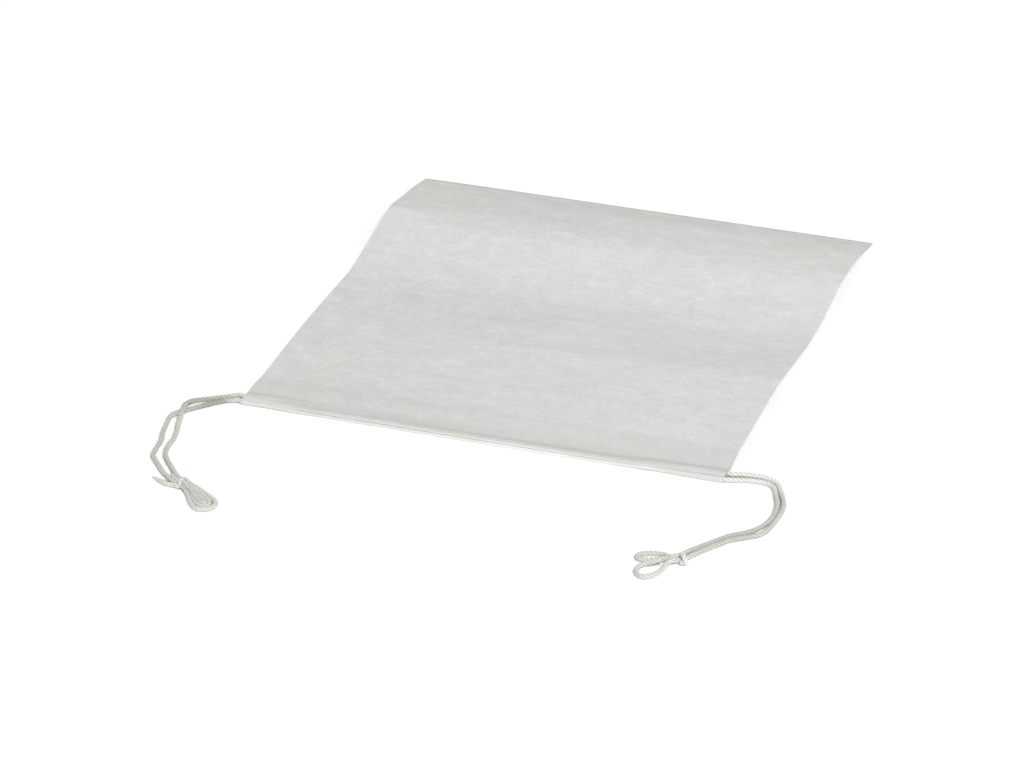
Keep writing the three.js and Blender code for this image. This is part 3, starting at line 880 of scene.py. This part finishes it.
def rope_faces(count):
    """Faces of a rope of so many rings, closed at both ends by a point each."""
    sides = ROPE_SIDES
    start = count * sides
    end = start + 1
    faces = []
    for i in range(count - 1):
        for k in range(sides):
            n = (k + 1) % sides
            faces.append((i * sides + k, i * sides + n, (i + 1) * sides + n, (i + 1) * sides + k))
    for k in range(sides):
        n = (k + 1) % sides
        faces.append((start, n, k))
        faces.append((end, (count - 1) * sides + k, (count - 1) * sides + n))
    return faces


def set_point_values(mesh, name, values):
    attribute = mesh.attributes.new(name, "FLOAT", "POINT")
    attribute.data.foreach_set("value", values)


def unroll_rope(mesh, length, angles, diameter):
    """Texture coordinates in millimetres: along the rope and round it."""
    round_share = np.concatenate([np.tile(angles / (2 * math.pi), len(length)), [0, 0]])
    along = np.concatenate([np.repeat(length, ROPE_SIDES), [0, length[-1]]])
    corner_vertices = np.empty(len(mesh.loops), int)
    mesh.loops.foreach_get("vertex_index", corner_vertices)
    u = along[corner_vertices]
    v = round_share[corner_vertices] * math.pi * diameter
    mesh.uv_layers.new(name="cord").data.foreach_set("uv", np.column_stack([u, v]).ravel())


# How light each piece is coloured along it, from 0, grey, to 1, as (share of its length, lightness)
LEFT_BACK_TONE = [
    (0, 0.68), (0.06, 0.56), (0.12, 0.24), (0.2, 0.18), (0.3, 0.2), (0.42, 0.38), (0.8, 0.4), (1, 0.6),
]
# The left front strand is coloured darkest from a tenth to a quarter of its length, near the hem
LEFT_FRONT_TONE = [
    (0, 0.66), (0.06, 0.5), (0.1, 0.05), (0.2, 0), (0.25, 0.2), (0.42, 0.38), (0.8, 0.4), (1, 0.6),
]
RIGHT_STRAND_TONE = [
    (0, 0.85), (0.24, 0.82), (0.34, 0.46), (0.58, 0.42), (0.64, 0.33), (0.88, 0.41), (1, 0.7),
]
LEFT_KNOT_TONE = [(0, 0.645), (1, 0.645)]
HANK_TONE = [(0, 0.56), (1, 0.53)]
KNOT_TONE = [(0, 0.76), (1, 0.76)]
LOOP_TONE = [(0, 0.61), (1, 0.61)]
ROPE_RELIEF = 0.75
HANK_RELIEF = 0.45


def make_rope(
    name, points, cord, nodes, diameter=ROPE_DIAMETER, phase=0.0, seed=0, tone=KNOT_TONE, tip=0,
    relief=ROPE_RELIEF,
):
    """A twisted cotton rope along the points, with rounded ends."""
    line = resample(points, ROPE_STEP)
    rings, groove, length, angles = rope_rings(line, diameter / 2, phase, seed, relief)
    rings = line[:, None, :] + (rings - line[:, None, :]) * rope_taper(length, tip)[:, None, None]
    vertices = np.concatenate([rings.reshape(-1, 3), line[:1], line[-1:]])
    vertices[:, 2] = np.maximum(vertices[:, 2], ROPE_LOWEST)
    rope = new_mesh(name, vertices, rope_faces(len(line)), cord)
    unroll_rope(rope.data, length, angles, diameter)
    # Painted shade, deepest in the grooves between plies
    shade = np.clip(groove, 0, 1).ravel() * GROOVE_SHADE
    set_point_values(rope.data, "groove", np.concatenate([shade, [0, 0]]))
    shares = np.concatenate([np.repeat(length / length[-1], ROPE_SIDES), [0, 1]])
    set_point_values(rope.data, "lightness", np.interp(shares, *np.transpose(tone)))
    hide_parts(*nodes)
    return rope, line


def strand_points(is_front, route, in_knot, side):
    """From inside the hem to the knot; the first places outside ease over from where the hem really ends."""
    inside = place_in_hem(side * (HALF_WIDTH - RUN_INTO_HEM), is_front)
    at_end = place_in_hem(side * HALF_WIDTH, is_front)
    tunnel = FRONT_TUNNEL if is_front else BACK_TUNNEL
    offset = at_end[1] - SEAM_Y - tunnel[0]
    outside = [place_at_hem_end(place, side) for place in route]
    for place, (outwards, _, _) in zip(outside, route):
        if place[1] > SEAM_Y - EASE_DEPTH:
            place[1] += offset * max(0, 1 - outwards / EASE_LENGTH)
    return [inside, at_end] + outside + [place_at_hem_end(place, side) for place in in_knot]


# Turns round the knots: middle as in the routes, axis and start in degrees, and lengths in millimetres
LEFT_WRAP_CENTRE = [-1.45, -33.55, 0.62]
LEFT_WRAP = {"axis": -42, "radius": 0.72, "half_length": 0.42, "turns": 1.3, "rise": 0.52, "start": 150}
RIGHT_WRAP_CENTRE = [1.65, -31.6, 0.5]
RIGHT_WRAP = {"axis": 28, "radius": 1.0, "half_length": 0.4, "turns": 1.35, "rise": 0.5, "start": 170}
WRAP_STEPS_PER_TURN = 18
LEFT_TAIL_TIP = 3


def wrap_points(centre, axis, radius, half_length, turns, rise, start):
    """A short helix round the axis, flattened on the table side, for the turn of a knot."""
    forward = np.array([math.cos(math.radians(axis)), math.sin(math.radians(axis)), 0.0])
    sideways = np.array([-forward[1], forward[0], 0.0])
    t = np.linspace(0, 1, int(WRAP_STEPS_PER_TURN * turns) + 1)
    angle = math.radians(start) + 2 * math.pi * turns * t
    along = (t * 2 - 1) * half_length
    points = centre + along[:, None] * forward + (radius * np.cos(angle))[:, None] * sideways
    points[:, 2] = centre[2] + rise * np.sin(angle)
    return points


def make_left_end(cord):
    """The knot where the two left strands meet, with its cut tail, and the hank beyond it."""
    wrap = wrap_points(place_at_hem_end(LEFT_WRAP_CENTRE, -1), **LEFT_WRAP)
    bound = [place_at_hem_end(place, -1) for place in LEFT_BOUND_STRAND]
    tail = [place_at_hem_end(place, -1) for place in LEFT_TAIL]
    pieces = []
    for name, points, seed, tip in (
        ("left_knot_turn", wrap, 21, 0),
        ("left_knot_strand", bound, 22, 0),
        ("left_knot_tail", tail, 23, LEFT_TAIL_TIP),
    ):
        rope, _ = make_rope(name, points, cord, ["left_knot"], seed=seed, tone=LEFT_KNOT_TONE, tip=tip)
        pieces.append(rope)
    hank, hank_line = make_hank(cord)
    return pieces, hank, hank_line


# The hank's nested loops, as (share of its length, half width, cord diameters over the table), and the
# outline that they share, as (share of the length, shares of the half width at the back and front, rise)
HANK_KNOT_END = [-1.7, -33.7]
HANK_FAR_END = [-8.9, -40.15]
HANK_TURNS = [(1.0, 2.04, 0.0), (0.905, 1.16, 0.05), (0.81, 0.36, 0.2)]
HANK_OUTLINE = [
    (0.0, 0.35, 0.25, 0.55), (0.15, 0.55, 0.3, 0.4), (0.33, 0.8, 0.42, 0.1), (0.5, 0.92, 0.68, 0.0),
    (0.65, 0.98, 0.88, 0.0), (0.79, 1.0, 0.98, 0.0), (0.89, 0.86, 0.88, 0.0), (0.955, 0.56, 0.6, 0.0),
    (0.99, 0.22, 0.25, 0.0),
]
HANK_RISE_PER_TURN = 0.6


def make_hank(cord):
    """The spare cord beyond the left knot: one rope laid in nested loops, each out and back to the knot."""
    near = place_at_hem_end([*HANK_KNOT_END, 0], -1)[:2]
    far = place_at_hem_end([*HANK_FAR_END, 0], -1)[:2]
    reach = far - near
    forward = reach / np.linalg.norm(reach)
    sideways = np.array([-forward[1], forward[0]])
    outwards = [(t, back, rise) for t, back, _, rise in HANK_OUTLINE]
    inwards = [(t, -front, rise) for t, _, front, rise in reversed(HANK_OUTLINE)]
    laid = []
    for turn, (share, half_width, lift) in enumerate(HANK_TURNS, 1):
        for t, spread, rise in outwards + inwards:
            flat = near + reach * share * t + sideways * spread * half_width
            height = CORD_RADIUS + (lift + rise * turn * HANK_RISE_PER_TURN) * CORD_DIAMETER
            laid.append([flat[0], flat[1], height])
    return make_rope(
        "left_hank_loops", laid, cord, ["left_hank"], seed=31, tone=HANK_TONE, relief=HANK_RELIEF)


RIGHT_LINK_IN_KNOT = [[0.3, -32.5, 0.6]]


def make_right_end(cord):
    """The knot that gathers the two right strands, and the two small loops beyond it."""
    wrap = wrap_points(place_at_hem_end(RIGHT_WRAP_CENTRE, 1), **RIGHT_WRAP)
    turn, _ = make_rope("right_knot_turn", wrap, cord, ["right_knot"], seed=41)
    route = RIGHT_UPPER_LOOP + RIGHT_LINK_IN_KNOT + RIGHT_LOWER_LOOP
    points = [place_at_hem_end(place, 1) for place in route]
    nodes = ["right_upper_loop", "right_lower_loop"]
    loops, _ = make_rope("right_loops", points, cord, nodes, seed=43, tone=LOOP_TONE)
    return [turn, loops]


# Gap between a strand's end inside the hem and the string's hidden stretch, and the points of that stretch
STRING_JOINT = 0.1
STRING_IN_HEM_POINTS = 25


def make_cords(cord):
    left_knot, hank, hank_line = make_left_end(cord)
    right_knot = make_right_end(cord)
    strands = (
        ("left_back_strand", LEFT_BACK_STRAND, LEFT_BACK_IN_KNOT, -1, left_knot, LEFT_BACK_TONE),
        ("left_front_strand", LEFT_FRONT_STRAND, LEFT_FRONT_IN_KNOT, -1, [], LEFT_FRONT_TONE),
        ("right_back_strand", RIGHT_BACK_STRAND, RIGHT_BACK_IN_KNOT, 1, right_knot, RIGHT_STRAND_TONE),
        ("right_front_strand", RIGHT_FRONT_STRAND, RIGHT_FRONT_IN_KNOT, 1, [], RIGHT_STRAND_TONE),
    )
    for seed, (name, route, in_knot, side, pieces, tone) in enumerate(strands, 1):
        is_front = "front" in name
        node = "front_string" if is_front else "back_string"
        points = strand_points(is_front, route, in_knot, side)
        rope, line = make_rope(name, points, cord, [node], phase=float(seed), seed=seed, tone=tone)
    for name, is_front, node, seed in (
        ("front_string_in_hem", True, "front_string", 5),
        ("back_string_in_hem", False, "back_string", 6),
    ):
        reach = HALF_WIDTH - RUN_INTO_HEM - STRING_JOINT
        points = [place_in_hem(x, is_front) for x in np.linspace(-reach, reach, STRING_IN_HEM_POINTS)]
        make_rope(name, points, cord, [node], diameter=STRING_IN_HEM_DIAMETER, seed=seed)


# Floor and light

FLOOR_HALF_WIDTH = 4.0
FLOOR_DROP = 0.00002


def make_floor():
    mesh = bpy.data.meshes.new("floor")
    half = FLOOR_HALF_WIDTH
    corners = [(-half, -half, 0), (half, -half, 0), (half, half, 0), (-half, half, 0)]
    mesh.from_pydata(corners, [], [(0, 1, 2, 3)])
    floor = bpy.data.objects.new("floor", mesh)
    bpy.context.scene.collection.objects.link(floor)
    floor.location.z = -FLOOR_DROP
    material = bpy.data.materials.new("white_table")
    material.use_nodes = True
    shader = material.node_tree.nodes["Principled BSDF"]
    shader.inputs["Base Color"].default_value = (1, 1, 1, 1)
    shader.inputs["Roughness"].default_value = 1.0
    shader.inputs["Specular IOR Level"].default_value = 0.0
    mesh.materials.append(material)


# The sun stands where the shadows of the bag's long edges fall behind those edges, as seen in the photograph
WORLD_LEVEL = 0.43
SUN_LEVEL = 0.59
SUN_ELEVATION = math.radians(45)
SUN_AZIMUTH = math.radians(35)
SUN_SPREAD = math.radians(16)


def make_world():
    """Even light on the object, and white where the camera looks past the floor."""
    world = bpy.data.worlds.new("studio")
    world.use_nodes = True
    tree = world.node_tree
    background = tree.nodes["Background"]
    background.inputs["Color"].default_value = (1, 1, 1, 1)
    rays = tree.nodes.new("ShaderNodeLightPath")
    strength = math_node(tree, "MULTIPLY", rays.outputs["Is Camera Ray"], 1 - WORLD_LEVEL)
    strength = math_node(tree, "ADD", strength, WORLD_LEVEL)
    tree.links.new(strength, background.inputs["Strength"])
    bpy.context.scene.world = world


def make_lights():
    make_world()
    data = bpy.data.lights.new("key", "SUN")
    data.energy = SUN_LEVEL * math.pi / math.sin(SUN_ELEVATION)
    data.angle = SUN_SPREAD
    key = bpy.data.objects.new("key", data)
    key.rotation_euler = direction(SUN_AZIMUTH, SUN_ELEVATION).to_track_quat("Z", "Y").to_euler()
    bpy.context.scene.collection.objects.link(key)


make_camera()
make_floor()
make_lights()
make_cords(make_cord_material())
make_pouch(make_paper())

bpy.context.scene.view_settings.view_transform = "Standard"
